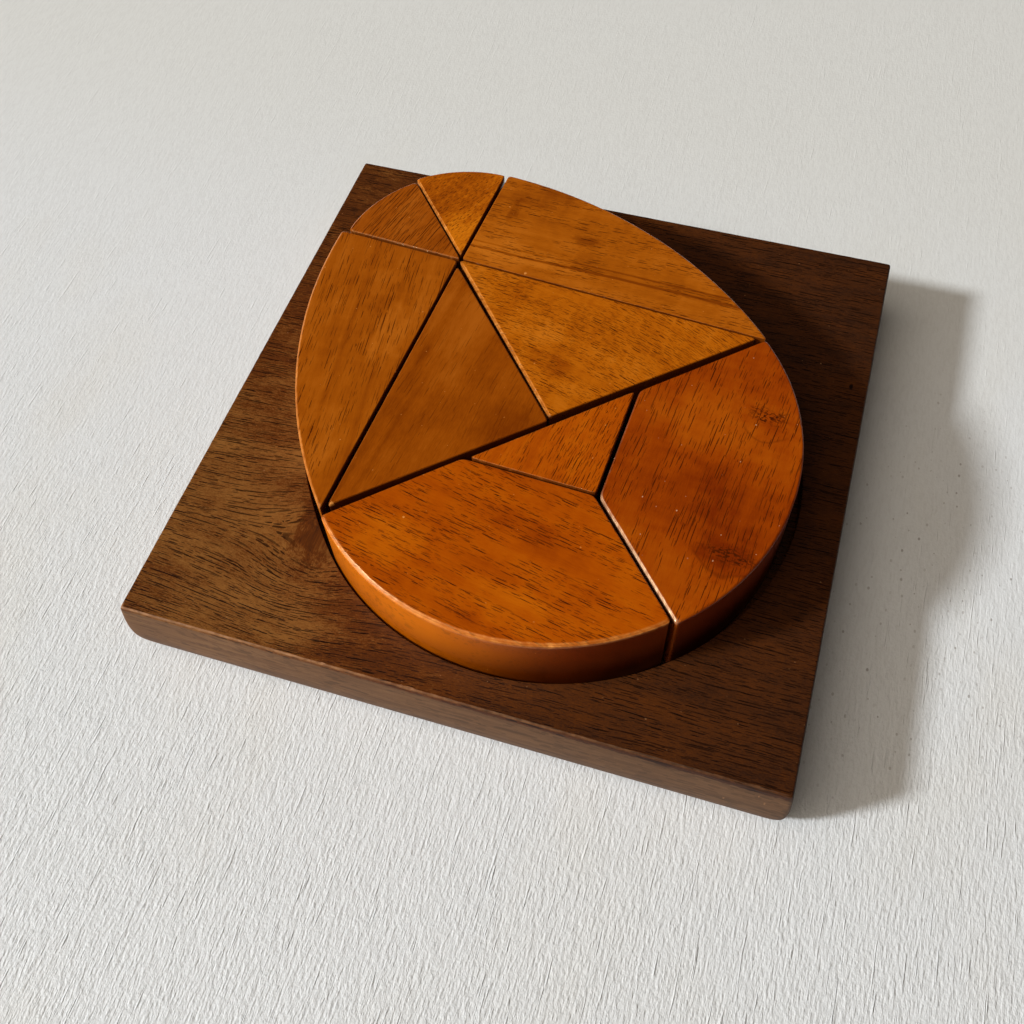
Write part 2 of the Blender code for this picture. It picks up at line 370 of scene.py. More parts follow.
class Finish(Nodes):
    """One board's finish. Places are millimetres in the board's own frame: x along the grain, y across it
    and z up through it. The grain's direction is in degrees from the tray's front edge, and the board's
    number shifts its noise, so that no two boards are alike."""

    def __init__(self, name, grain, board):
        self.material = bpy.data.materials.new(name)
        self.material.use_nodes = True
        super().__init__(self.material.node_tree)
        self.shader = self.tree.nodes["Principled BSDF"]
        self.grain = math.radians(grain)
        self.shift = tuple(board * step for step in NOISE_STEP)
        place = self.node("ShaderNodeMapping", vector_type="TEXTURE")
        self.put(place, Vector=self.node("ShaderNodeTexCoord").outputs["Object"],
                 Rotation=(0, 0, self.grain), Scale=(MM, MM, MM))
        self.at = place.outputs["Vector"]

    def on_board(self, x, y):
        """A place on the tray, in millimetres from its middle, as along and across this board's grain."""
        return turned(np.array([x, y]), -self.grain)

    def noise(self, size, detail=2.0, roughness=0.5):
        """Soft noise from 0 to 1, its lumps of a size in millimetres along, across and through the grain."""
        made = self.node("ShaderNodeTexNoise")
        spread = self.vector("MULTIPLY_ADD", self.at, tuple(1 / s for s in size), self.shift)
        self.put(made, Vector=spread, Scale=1.0, Detail=detail, Roughness=roughness)
        return made.outputs["Fac"]

    def wander(self, sway, bend=0.0, bend_from=(0, 0)):
        """Lets the grain run crooked: y + sway noise + bend (x - x0)^2."""
        x, y, z = self.split(self.at)
        slow = self.swing(self.noise(size=(38, 14, 30), detail=1.0), sway)
        quick = self.swing(self.noise(size=(9, 4, 8), detail=1.0), 0.25 * sway)
        past = self.minus(x, self.on_board(*bend_from)[0])
        curve = self.times(self.times(past, past), bend)
        self.at = self.joined(x, self.sum(y, slow, quick, curve), z)

    def far_from(self, x, y, stretch=1.0):
        """Millimetres from a place on the tray, counted stretch times as far across the grain; and the two
        parts of that way, along and across."""
        along, across = self.on_board(x, y)
        px, py, _ = self.split(self.at)
        dx = self.minus(px, along)
        dy = self.minus(py, across)
        wide = self.times(dy, stretch)
        square = self.sum(self.times(dx, dx), self.times(wide, wide))
        return self.maths("SQRT", square), dx, dy

    def knot(self, x, y, radius):
        """Parts the grain round a knot as a stream parts round a post, x (1 + k) and y (1 - k), where k
        falls from 1 at the middle as (1 - exp(-s)) / s, with s the square of the distance over the radius.
        Returns the distance."""
        distance, dx, dy = self.far_from(x, y)
        ratio = self.maths("DIVIDE", distance, radius)
        s = self.maths("MAXIMUM", self.times(ratio, ratio), 0.001)
        k = self.maths("DIVIDE", self.minus(1.0, self.maths("EXPONENT", self.times(s, -1.0))), s)
        px, py, z = self.split(self.at)
        px = self.maths("MULTIPLY_ADD", dx, k, px)
        py = self.minus(py, self.times(dy, k))
        self.at = self.joined(px, py, z)
        return distance

    def patch(self, x, y, length, width, amount):
        """A patch round a place on the tray, drawn out along the grain: amount inside and 0 outside. Noise
        frays its soft edge by up to 0.45 of its length either way."""
        distance, _, _ = self.far_from(x, y, stretch=length / width)
        fray = self.noise(size=(0.4 * length, 0.4 * width, 9), detail=3.0)
        ragged = self.sum(distance, self.swing(fray, 0.9 * length))
        return self.between(ragged, 0.2 * length, 0.65 * length, to_low=amount, to_high=0.0)

    def figure(self, streaks, clouds, ripples, fibres):
        """The board's figure, a tone about 0.5: streaks along the grain, clouds, ripples across it and fine
        fibres, each a noise of its own size."""
        return self.sum(
            0.5,
            self.swing(self.noise(size=(30, 2.6, 3), detail=3.0, roughness=0.55), streaks),
            self.swing(self.noise(size=(15, 9, 12)), clouds),
            self.swing(self.noise(size=(2.6, 10, 9)), ripples),
            self.swing(self.noise(size=(1.8, 0.26, 0.3), roughness=0.65), fibres))

    def pores(self, length, width, along, across, faint=0.6, dark=1.0, bare=0.0):
        """Cut-open pores, dark dashes along the grain: in each cell of a grid, along and across, one
        ellipsoid of the given length and width and five widths deep, 0.45 to 1.2 times that size and of a
        darkness from faint to dark. They are left out where a noise drawn out along the grain is below bare.
        Returns the darkness inside a pore and 0 outside."""
        cell = (along, across, 2.5 * width)
        half = (length / 2, width / 2, 2.5 * width)
        spread = self.vector("MULTIPLY_ADD", self.at, tuple(1 / c for c in cell), self.shift)
        made = self.node("ShaderNodeTexVoronoi", feature="F1")
        self.put(made, Vector=spread, Scale=1.0)
        reach = self.vector("SUBTRACT", spread, made.outputs["Position"])
        reach = self.vector("MULTIPLY", reach, tuple(c / h for c, h in zip(cell, half)))
        dice = self.node("ShaderNodeSeparateColor")
        self.put(dice, Color=made.outputs["Color"])
        size = self.maths("MULTIPLY_ADD", dice.outputs[0], 0.75, 0.45)
        inside = self.maths("DIVIDE", self.vector("LENGTH", reach), size)
        darkness = self.maths("MULTIPLY_ADD", dice.outputs[1], dark - faint, faint)
        grown = self.between(self.noise(size=(13, 3.2, 6)), bare - 0.08, bare + 0.05)
        shape = self.between(inside, 0.8, 1.0, to_low=1.0, to_high=0.0)
        return self.times(shape, self.times(darkness, grown))

    def mark(self, name):
        """A mark that the piece's mesh keeps on its points."""
        return self.node("ShaderNodeAttribute", attribute_name=name).outputs["Fac"]

    def lacquer(self, tone, tones, pores, pore_colour, wall_colour, worn_colour, rough, wall_rough, shine,
                tint=(1, 1, 1), chips=0.0):
        """Stains the board from dark through middle to light by tone, darkens and slightly sinks the pores,
        gives the sanded walls their own colour where their mark is strong, darkens the sawn walls, shows
        pale wood in rubbed edges, chips and a few specks, and lacquers it all. The lacquer is
        rougher on sanded walls and where it is rubbed, and smoother on sawn walls; its tint colours what it
        mirrors."""
        ramp = self.node("ShaderNodeValToRGB")
        ramp.color_ramp.elements.new(0.5)
        for element, place, colour in zip(ramp.color_ramp.elements, TONE_PLACES, tones):
            element.position = place
            element.color = (*colour, 1)
        self.put(ramp, Fac=tone)
        wall, worn, sawn = self.mark("wall"), self.mark("worn"), self.mark("sawn")
        pores = self.times(pores, self.between(wall, 0.0, 1.0, to_low=1.0, to_high=0.35))
        sanded = self.times(self.between(wall, 0.4, 1.0),
                            self.between(tone, 0.2, 0.7, to_low=0.75, to_high=1.0))
        colour = self.mixed(sanded, ramp.outputs["Color"], wall_colour)
        colour = self.mixed(pores, colour, pore_colour)
        colour = self.mixed(self.times(sawn, 0.85), colour, pore_colour)
        flaky = self.noise(size=(1.6, 0.9, 0.9), detail=3.0)
        rubbed = self.times(worn, self.between(flaky, 0.38, 0.62, to_low=0.45, to_high=1.0))
        specks = self.pores(length=0.4, width=0.3, along=9, across=8, faint=0.05, dark=0.5)
        colour = self.mixed(self.most(rubbed, specks, chips), colour, worn_colour)
        fibre = self.noise(size=(2.5, 0.25, 0.25))
        bump = self.node("ShaderNodeBump")
        relief = self.sum(self.times(pores, -0.5), self.times(fibre, 0.15))
        self.put(bump, Height=relief, Strength=0.4, Distance=0.04 * MM)
        rough = self.sum(rough, self.swing(fibre, 0.06), self.times(worn, 0.15),
                         self.between(wall, 0.0, STRIP_MARK, to_high=wall_rough), self.times(sawn, -0.13))
        self.put(self.shader, Base_Color=colour, Roughness=rough, Normal=bump.outputs["Normal"],
                 Specular_IOR_Level=shine, Specular_Tint=(*tint, 1))
        return self.material


def walnut():
    """Dark board, its grain along the front edge, darker and calmer to the right. At the front left it is
    golden, and its grain parts round a knot with a dark heart. On the right it has one small scar."""
    wood = Finish("walnut", grain=0, board=1)
    golden = wood.sum(wood.patch(-54, -42, length=74, width=72, amount=0.225),
                      wood.patch(-8, -63, length=54, width=16, amount=0.045),
                      wood.patch(36, -64, length=40, width=12, amount=0.05))
    heart = wood.patch(-37, -41, length=12, width=17, amount=-0.2)
    scar = wood.between(wood.far_from(66.2, 28.9, stretch=0.5)[0], 0.25, 0.6, to_low=1.0, to_high=0.0)
    along = wood.split(wood.at)[0]
    paler = wood.between(along, -60.0, 60.0, to_low=0.055, to_high=-0.12)
    calm = wood.between(along, -20.0, 50.0, to_low=1.0, to_high=0.6)
    open_pored = wood.between(wood.knot(-36, -43.5, radius=9), 4.0, 9.0, to_low=0.1, to_high=1.0)
    wood.wander(sway=1.8)
    grit = wood.swing(wood.noise(size=(0.5, 0.2, 0.3), roughness=0.7), 0.5)
    figure = wood.sum(wood.figure(streaks=0.36, clouds=0.4, ripples=0.1, fibres=0.5), grit, -0.5)
    tone = wood.sum(wood.times(figure, calm), golden, paler, heart, 0.42)
    lines = wood.pores(length=9.0, width=0.28, along=7.0, across=1.2, faint=0.7, bare=0.40)
    dashes = wood.pores(length=2.6, width=0.24, along=2.5, across=0.8, faint=0.5, bare=0.38)
    streaky = wood.between(wood.noise(size=(18, 6, 1.2), detail=4.0, roughness=0.65), 0.34, 0.66)
    left_side = wood.mixed(streaky, (0.135, 0.062, 0.025), (0.204, 0.098, 0.040))
    right_side = wood.mixed(streaky, (0.108, 0.052, 0.022), (0.165, 0.083, 0.037))
    return wood.lacquer(
        tone, tones=((0.029, 0.0102, 0.0044), (0.098, 0.0262, 0.0043), (0.228, 0.092, 0.020)),
        pores=wood.most(wood.times(wood.most(lines, dashes), open_pored), scar),
        pore_colour=(0.009, 0.0024, 0.0006), worn_colour=(0.34, 0.16, 0.065),
        wall_colour=wood.mixed(wood.between(along, -70.0, 50.0), left_side, right_side),
        rough=0.26, wall_rough=0.34, shine=0.2)


tray_board = tray_surface()
tray_board.data.materials.append(walnut())
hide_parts("tray")
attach(tray_board, "tray")


# The tip sectors
# Two eighths of a circle that close the egg's tip, sawn from stained hardwood, sanded and lacquered.
# Like all the pieces they lie loose in the recess, so each has slid a little from its place.

EGG_RADIUS = 52.2 * MM
EGG_CENTRE = MM * np.array([6.4, -10.2])
EGG_TURN = math.radians(41.2)
TIP_TRIM = 0.5 * MM
TIP_RADIUS = (2 - ROOT2) * EGG_RADIUS - TIP_TRIM
CROWN = np.array([0, EGG_RADIUS])
TIP_LEFT, TIP_TOP, TIP_RIGHT = arc(CROWN, TIP_RADIUS, start=135, end=45, count=3)
PIECE_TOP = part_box("left_tip_sector")[1].z / MM
CORNER_SOFTNESS = 0.3 * MM
LOWER_EASE = 0.6 * MM
EASE_DROP = 0.8
EASE_POWER = 1.9
DENT_DEPTH = 0.10 * MM
PATH_POINTS = 720
TURN_SHARE = 2.5 * MM


def evenly_round(middle, cuts, curves):
    """Directions from a piece's middle that meet its outline at even steps, closer together at the corners:
    the outline is first read at many angles, and its length and its turning are shared out evenly."""
    angles = np.linspace(-math.pi, math.pi, 16 * PATH_POINTS)
    unit = np.stack([np.cos(angles), np.sin(angles)], axis=1)
    sides = np.diff(level_line(middle, unit, cuts, curves, CORNER_SOFTNESS, depth=0.0), axis=0)
    heading = np.unwrap(np.arctan2(sides[:, 1], sides[:, 0]))
    steps = np.hypot(*sides.T) + TURN_SHARE * np.abs(np.gradient(heading))
    so_far = np.concatenate([[0], np.cumsum(steps)])
    wanted = np.interp(np.linspace(0, so_far[-1], PATH_POINTS, endpoint=False), so_far, angles)
    return np.stack([np.cos(wanted), np.sin(wanted)], axis=1)


def loose_piece(node, corners, curves, eases, rubs_and_highlights, taken, turn, slid, wood, seed):
    """One puzzle piece: a profile carried round its outline. The profile runs out under the piece, round the
    eased lower edge, up the wall, over the eased upper edge, which wobbles and is nicked, and in across the
    top. An ease lies between a flat bevel and a quarter round: sin(a)^p out and 1 - cos(a)^p down, where
    p = 1 is round and 2 flat; the upper one drops less than it is wide. Its width and how far it is rubbed
    pale, from 0 to 1, are given for each cut and then for the curve. The pale rubbing is real wear and, on
    the edges that face the lamp, a painted highlight too. Eases are millimetres, as are what sawing took off
    every side and how far the piece has slid across and along the egg; its turn is in degrees. It marks
    rubbed edges as worn, the curved wall as wall and the straight walls as sawn."""
    low, high = (corner.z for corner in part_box(node))
    taken = taken * MM

    def placed(point):
        """A point of the egg's plan, carried to where this piece lies."""
        at_home = turned(np.asarray(point, float), math.radians(turn))
        return at_home + EGG_CENTRE + turned(np.asarray(slid) * MM, EGG_TURN)

    middle = np.mean([placed(corner) for corner in corners], axis=0)
    cuts = [(placed(a), placed(b)) for a, b in zip(corners, corners[1:])]
    if curves:
        curves = [(placed(centre), radius) for centre, radius in curves]
    else:
        cuts.append((placed(corners[-1]), placed(corners[0])))
    unit = evenly_round(middle, cuts, curves)

    def ring(inset, height, share=1.0):
        """The piece's outline at a height, moved inwards and then shrunk to a share about its middle."""
        flat = level_line(middle, unit, cuts, curves, CORNER_SOFTNESS, depth=taken + inset)
        return at_height(middle + (flat - middle) * share, height)

    path = ring(0, 0)[:, :2]
    depths = edge_depths(path, cuts, curves)
    nearness = np.exp((depths.min(axis=0) - depths) / CORNER_SOFTNESS)
    nearness /= nearness.sum(axis=0)
    curved = nearness[len(cuts):].sum(axis=0)
    position = travelled(path)
    dents = nicks(position, count=22, width=0.35 * MM, seed=seed)
    wobble = 0.13 * waves(position, longest=30 * MM, shortest=2 * MM, seed=seed + 1)
    width = MM * np.array(eases) @ nearness * np.clip(1 + wobble, 0.7, 1.2)
    patchy = 0.4 * waves(position, longest=25 * MM, shortest=1.5 * MM, seed=seed + 2)
    rubbed = np.array(rubs_and_highlights) @ nearness
    rubbed = rubbed * (1 + patchy) + 0.6 * dents * np.sqrt(rubbed)

    steps = np.linspace(0, math.pi / 2, 13)
    over = np.sin(steps) ** EASE_POWER
    down = 1 - np.cos(steps) ** EASE_POWER
    rings = [ring(LOWER_EASE, low, share) for share in (0.2, 0.5, 0.8, 0.95)]
    first_wall = len(rings)
    rings += [ring(LOWER_EASE * (1 - o), low + LOWER_EASE * d) for o, d in zip(over, down)]
    rings += [ring(0, height) for height in np.linspace(low + 1.5 * MM, high - 1.5 * MM, 12)]
    first_worn = len(rings)
    for o, d in zip(over[::-1], down[::-1]):
        dented = DENT_DEPTH * dents * math.sin(math.pi * min(o, 1))
        rings.append(ring(width * (1 - o) + dented, high - EASE_DROP * width * d - 0.6 * dented))
    first_top = len(rings)
    rings += [ring(width, high, share) for share in (0.99, 0.96, 0.9, 0.8, 0.65, 0.5, 0.35, 0.2, 0.08)]

    worn = np.zeros((len(rings), PATH_POINTS))
    arrises = np.abs(np.sin(np.linspace(0, 2 * math.pi, first_top - first_worn)))
    worn[first_worn:first_top] = np.outer(np.maximum(arrises, 0.6), np.clip(rubbed, 0, 1))
    upright = np.zeros(len(rings))
    upright[first_wall:first_worn] = 1
    upright[first_worn:first_top] = np.linspace(1, 0, first_top - first_worn)
    piece = closed_surface(node + "_wood", np.stack(rings), worn=worn,
                           wall=np.outer(upright, curved), sawn=np.outer(upright, 1 - curved))
    piece.data.materials.append(wood)
    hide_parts(node)
    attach(piece, node)


PORE_COLOUR = (0.060, 0.0085, 0.0004)
WALL_COLOUR = (0.50, 0.13, 0.003)
# Painted shade: the walls' colour darkens to this at their foot, next to the tray.
FOOT_SHADE_COLOUR = (0.32, 0.07, 0.001)
# Pale rubbed wood; on the edges that face the lamp it also stands for part of their highlight.
WORN_AND_HIGHLIT_COLOUR = (0.82, 0.32, 0.065)
LACQUER_TINT = (1.0, 0.7, 0.4)


def stained(wood, tone, tones, *pores, wall_colour=WALL_COLOUR, shaded_foot_colour=FOOT_SHADE_COLOUR,
            worn_colour=WORN_AND_HIGHLIT_COLOUR, chips=0.0):
    """The finish that all the pieces share: stained through, sanded, and lacquered to a soft amber gloss. On
    the outer wall the colour darkens towards the tray: painted shade at the wall's foot."""
    height = wood.split(wood.at)[2]
    wall_colour = wood.mixed(wood.between(height, TRAY_TOP / MM, PIECE_TOP - 3.0), shaded_foot_colour, wall_colour)
    return wood.lacquer(tone, tones, wood.most(*pores), PORE_COLOUR, wall_colour, worn_colour,
                        rough=0.2, wall_rough=0.1, shine=0.45, tint=LACQUER_TINT, chips=chips)


def left_tip_stain():
    """Brown, with many long dark lines up the tray."""
    wood = Finish("left_tip_stain", grain=77, board=2)
    wood.wander(sway=1.0)
    tone = wood.figure(streaks=0.6, clouds=0.4, ripples=0.15, fibres=0.35)
    lines = wood.pores(length=9, width=0.24, along=6.0, across=0.8, bare=0.4)
    dashes = wood.pores(length=3, width=0.2, along=2.6, across=0.65, faint=0.21, dark=0.7, bare=0.42)
    tones = ((0.19, 0.034, 0.0006), (0.320, 0.070, 0.0025), (0.41, 0.106, 0.007))
    return stained(wood, tone, tones, lines, dashes)


def right_tip_stain():
    """Golden, mottled with short flecks, brown at the back and bright at the point."""
    wood = Finish("right_tip_stain", grain=62, board=3)
    wood.wander(sway=1.5)
    mottle = wood.swing(wood.noise(size=(1.3, 0.7, 2), detail=3.0), 0.7)
    bright = wood.patch(-31, 37, length=14, width=11, amount=0.28)
    tone = wood.sum(wood.figure(streaks=0.4, clouds=0.6, ripples=0.2, fibres=0.2), mottle, bright, -0.05)
    flecks = wood.pores(length=1.1, width=0.24, along=1.2, across=0.7, faint=0.36, dark=0.9, bare=0.38)
    tones = ((0.23, 0.043, 0.0006), (0.40, 0.090, 0.0015), (0.61, 0.168, 0.004))
    return stained(wood, tone, tones, flecks)


loose_piece("left_tip_sector", [TIP_LEFT, CROWN, TIP_TOP], [(CROWN, TIP_RADIUS)],
            eases=(0.22, 0.15, 0.3), rubs_and_highlights=(0.12, 0.0, 0.05), taken=0.30, turn=41.20, slid=(0.58, -0.97),
            wood=left_tip_stain(), seed=20)
loose_piece("right_tip_sector", [TIP_TOP, CROWN, TIP_RIGHT], [(CROWN, TIP_RADIUS)],
            eases=(0.48, 0.15, 0.25), rubs_and_highlights=(0.5, 0.0, 0.05), taken=0.38, turn=41.20, slid=(0.37, 0.02),
            wood=right_tip_stain(), seed=30)


# The side pieces
# The egg's two flanks, each with two straight saw cuts and one long sanded curve, lying loose in the recess.
# Both are hardwood stained amber brown; the left one's grain runs up the tray, the right one's across it.

LEFT_END, RIGHT_END = (-EGG_RADIUS, 0), (EGG_RADIUS, 0)
FLANK_LEFT = EGG_RADIUS * np.array([1 - ROOT2, ROOT2])
FLANK_RIGHT = EGG_RADIUS * np.array([ROOT2 - 1, ROOT2])


def streak(wood, x, y, width, amount):
    """A soft line along the grain through a place on the tray: amount at its core, 0 past its width."""
    across = wood.split(wood.at)[1]
    off = wood.maths("ABSOLUTE", wood.minus(across, float(wood.on_board(x, y)[1])))
    return wood.between(off, 0.1 * width, width, to_low=amount, to_high=0.0)


def chip(wood, x, y, size):
    """A small ragged chip in a piece's top, where bare wood shows: 0.7 inside it, fading out within a
    millimetre of the top, and 0 outside."""
    fray = wood.swing(wood.noise(size=(0.5, 0.5, 0.5)), 1.6 * size)
    ragged = wood.sum(wood.far_from(x, y)[0], fray)
    upper = wood.between(wood.split(wood.at)[2], PIECE_TOP - 1.0, PIECE_TOP - 0.4)
    return wood.times(upper, wood.between(ragged, 0.6 * size, size, to_low=0.7, to_high=0.0))


def left_side_stain():
    """Amber brown, with long thin lines up the tray, a few dark streaks and paler patches between them."""
    wood = Finish("left_side_stain", grain=96, board=4)
    wood.wander(sway=1.2)
    tone = wood.sum(wood.figure(streaks=0.5, clouds=0.45, ripples=0.2, fibres=0.25),
                    streak(wood, -46, 10, width=1.2, amount=-0.12),
                    streak(wood, -37, 10, width=1.0, amount=-0.12),
                    wood.patch(-42, 17, length=10, width=5, amount=0.15),
                    wood.patch(-36, 4, length=18, width=9, amount=0.26),
                    wood.patch(-40, -25, length=18, width=9, amount=0.16),
                    wood.patch(-48, -2, length=14, width=7, amount=-0.12))
    lines = wood.pores(length=8, width=0.22, along=6.4, across=1.25, bare=0.49)
    dashes = wood.pores(length=3.2, width=0.2, along=3.2, across=1.0, faint=0.27, dark=0.9, bare=0.47)
    tones = ((0.205, 0.037, 0.0006), (0.34, 0.077, 0.0020), (0.46, 0.122, 0.007))
    return stained(wood, tone, tones, lines, dashes)


def right_side_stain():
    """Amber, with short dashes along the tray in clusters, dark growth lines near its long straight edge,
    and a small chip beside it."""
    wood = Finish("right_side_stain", grain=-2, board=5)
    chipped = chip(wood, -11.8, 28.9, size=0.45)
    wood.wander(sway=1.2)
    tone = wood.sum(wood.figure(streaks=0.5, clouds=0.45, ripples=0.25, fibres=0.25),
                    streak(wood, 0, 33.3, width=0.55, amount=-0.45),
                    streak(wood, 0, 35.2, width=0.45, amount=-0.25),
                    streak(wood, 0, 31, width=4.0, amount=0.08),
                    wood.patch(-16, 34, length=26, width=8, amount=0.2),
                    wood.patch(26, 32, length=18, width=8, amount=-0.13),
                    wood.patch(-1, 42.5, length=6, width=4, amount=-0.2),
                    wood.patch(-20.5, 48, length=3, width=7, amount=-0.2),
                    wood.patch(-14, 54, length=22, width=7, amount=-0.14))
    dashes = wood.pores(length=3.4, width=0.25, along=3.0, across=1.0, bare=0.5)
    fine = wood.pores(length=1.5, width=0.2, along=1.6, across=0.7, faint=0.18, dark=0.6, bare=0.44)
    tones = ((0.210, 0.041, 0.0008), (0.38, 0.091, 0.0025), (0.51, 0.140, 0.008))
    return stained(wood, tone, tones, dashes, fine, chips=chipped)


loose_piece("left_side_piece", [LEFT_END, CROWN, FLANK_LEFT], [(RIGHT_END, 2 * EGG_RADIUS)],
            eases=(0.15, 0.15, 0.38), rubs_and_highlights=(0.0, 0.0, 0.4), taken=0.27, turn=41.37, slid=(-0.02, -0.32),
            wood=left_side_stain(), seed=40)
loose_piece("right_side_piece", [FLANK_RIGHT, CROWN, RIGHT_END], [(LEFT_END, 2 * EGG_RADIUS)],
            eases=(0.15, 0.05, 0.25), rubs_and_highlights=(0.1, 0.0, 0.1), taken=0.29, turn=41.04, slid=(0.06, -0.30),
            wood=right_side_stain(), seed=50)


# The two triangles
# Right-angled triangles either side of the egg's axis, sawn square on all three sides, lying loose.
# The left one is a plain brown board, the right one a golden one whose grain fans out to the right.

MIDDLE = (0, 0)


def left_triangle_stain():
    """Plain brown, almost without pores, with two dark streaks beside its long cut and a chip at its tip."""
    wood = Finish("left_triangle_stain", grain=83, board=6)
    chipped = chip(wood, -30.9, -42.4, size=0.65)
    wood.wander(sway=1.4)
    tone = wood.sum(wood.figure(streaks=0.45, clouds=0.4, ripples=0.15, fibres=0.4),
                    streak(wood, -25.5, 8, width=1.6, amount=-0.14),
                    streak(wood, -22, 8, width=1.0, amount=-0.1),
                    wood.patch(-22, 11, length=26, width=16, amount=0.24),
                    wood.patch(-22, -16, length=20, width=12, amount=-0.12),
                    wood.patch(-4, -14, length=12, width=12, amount=-0.2))
    lines = wood.pores(length=5, width=0.18, along=4.4, across=1.2, faint=0.12, dark=0.6, bare=0.46)
    tones = ((0.182, 0.032, 0.0003), (0.288, 0.060, 0.0012), (0.384, 0.095, 0.005))
    return stained(wood, tone, tones, lines, chips=chipped)


def right_triangle_stain():
    """Golden brown, dense with short dashes. The grain bends down to the right, where it shows ripples."""
    wood = Finish("right_triangle_stain", grain=-6, board=7)
    wood.wander(sway=1.2, bend=0.0040, bend_from=(-12, 20))
    tone = wood.sum(wood.figure(streaks=0.35, clouds=0.45, ripples=0.4, fibres=0.35),
                    wood.patch(1, 5, length=12, width=8, amount=-0.18),
                    wood.patch(-14, 21, length=12, width=8, amount=-0.12),
                    wood.patch(-4, 14, length=14, width=10, amount=0.16))
    dashes = wood.pores(length=2.4, width=0.22, along=2.2, across=0.75, faint=0.4, bare=0.40)
    fine = wood.pores(length=1.3, width=0.18, along=1.4, across=0.55, faint=0.21, dark=0.7, bare=0.38)
    tones = ((0.28, 0.052, 0.0005), (0.46, 0.112, 0.0020), (0.59, 0.172, 0.009))
    return stained(wood, tone, tones, dashes, fine)


loose_piece("left_triangle", [LEFT_END, MIDDLE, CROWN], [],
            eases=(0.2, 0.2, 0.15), rubs_and_highlights=(0.0, 0.0, 0.15), taken=0.80, turn=41.64, slid=(0.01, 0.04),
            wood=left_triangle_stain(), seed=60)
loose_piece("right_triangle", [MIDDLE, RIGHT_END, CROWN], [],
            eases=(0.2, 0.05, 0.55), rubs_and_highlights=(0.0, 0.0, 0.45), taken=0.54, turn=41.08, slid=(-0.84, 1.08),
            wood=right_triangle_stain(), seed=70)


# The small triangle
# The least of the pieces, sawn to fit below the egg's widest line between the two lower pieces, and loose.
# It is hardwood stained bright orange, its grain running up the tray.

SMALL_HALF = 20.3 * MM
SMALL_LEFT, SMALL_RIGHT, SMALL_POINT = (-SMALL_HALF, 0), (SMALL_HALF, 0), (0, -SMALL_HALF)


def small_triangle_stain():
    """Orange, with dashes up the tray."""
    wood = Finish("small_triangle_stain", grain=81, board=8)
    wood.wander(sway=0.9)
    tone = wood.figure(streaks=0.6, clouds=0.4, ripples=0.25, fibres=0.25)
    dashes = wood.pores(length=4.2, width=0.25, along=3.6, across=1.0, bare=0.42)
    fine = wood.pores(length=1.8, width=0.2, along=1.9, across=0.65, faint=0.21, dark=0.7, bare=0.42)
    tones = ((0.26, 0.0355, 0.0003), (0.415, 0.0735, 0.0006), (0.53, 0.121, 0.002))
    return stained(wood, tone, tones, dashes, fine)


loose_piece("small_triangle", [SMALL_LEFT, SMALL_POINT, SMALL_RIGHT], [],
            eases=(0.12, 0.2, 0.25), rubs_and_highlights=(0.1, 0.0, 0.15), taken=0.36, turn=42.40, slid=(-0.10, 0.06),
            wood=small_triangle_stain(), seed=80)


# The lower pieces
# The two quarters of the egg's round end, each with a corner sawn away for the small triangle, and loose.
# The left one is hardwood stained bright orange, the right one redder, with two small knots.

BOTTOM = (0, -EGG_RADIUS)
# Painted shade: the dark colours of the lower pieces' outer walls where they turn from the lamp, darker
# still at their foot.
SHADED_WALL = (0.14, 0.013, 0.0003)
SHADED_FOOT = (0.05, 0.005, 0.0002)


def speckle(wood, x, y, length, width):
    """Rough dark specks, drawn out across the grain, in a ragged patch round a place on the tray."""
    specks = wood.between(wood.noise(size=(0.4, 0.8, 0.5), detail=3.0, roughness=0.7), 0.47, 0.56)
    return wood.times(wood.patch(x, y, length, width, amount=1.0), specks)


def growth_line(wood, x, y, radius, wobble, side):
    """A wavering growth line about a place on the tray, where it lies to one side of that place along the
    grain: 1 on the line and 0 off it; and 1 beyond the line and 0 within it."""
    distance, dx, _ = wood.far_from(x, y)
    off = wood.sum(distance, wood.swing(wood.noise(size=(8, 8, 8), detail=1.0), wobble), -radius)
    shown = wood.between(wood.times(dx, side), 0.35 * radius, 0.8 * radius)
    line = wood.between(wood.maths("ABSOLUTE", off), 0.05, 0.55, to_low=1.0, to_high=0.0)
    beyond = wood.between(off, -0.3, 0.3)
    return wood.times(line, shown), wood.times(beyond, shown)


def lower_left_stain():
    """Bright orange, with dashes that slope down to the right, a darker patch below the small triangle and a
    small chip in its top. Its wall is painted with shade: dark to the right, where it turns from the lamp,
    and at its foot."""
    wood = Finish("lower_left_stain", grain=-12, board=9)
    chipped = chip(wood, -15.8, -41.1, size=0.3)
    along = wood.split(wood.at)[0]
    # Painted shade: the wall and its foot run from a lit orange at the left to dark shaded colours on the
    # right.
    wall_colour = wood.mixed(wood.between(along, 0.0, 39.0), (0.67, 0.160, 0.001), SHADED_WALL)
    shaded_foot_colour = wood.mixed(wood.between(along, -4.0, 33.0), (0.49, 0.110, 0.001), SHADED_FOOT)
    wood.wander(sway=1.4)
    tone = wood.sum(wood.figure(streaks=0.4, clouds=0.5, ripples=0.2, fibres=0.25),
                    wood.patch(8, -36, length=18, width=8, amount=-0.2),
                    wood.patch(11, -54, length=20, width=12, amount=0.16),
                    wood.patch(-17, -48, length=16, width=12, amount=0.2))
    dashes = wood.pores(length=4.0, width=0.27, along=3.4, across=1.0, bare=0.45)
    fine = wood.pores(length=1.8, width=0.2, along=1.9, across=0.65, faint=0.24, dark=0.8, bare=0.45)
    tones = ((0.237, 0.030, 0.0002), (0.398, 0.069, 0.0004), (0.512, 0.113, 0.0015))
    return stained(wood, tone, tones, dashes, fine, chips=chipped,
                   wall_colour=wall_colour, shaded_foot_colour=shaded_foot_colour)


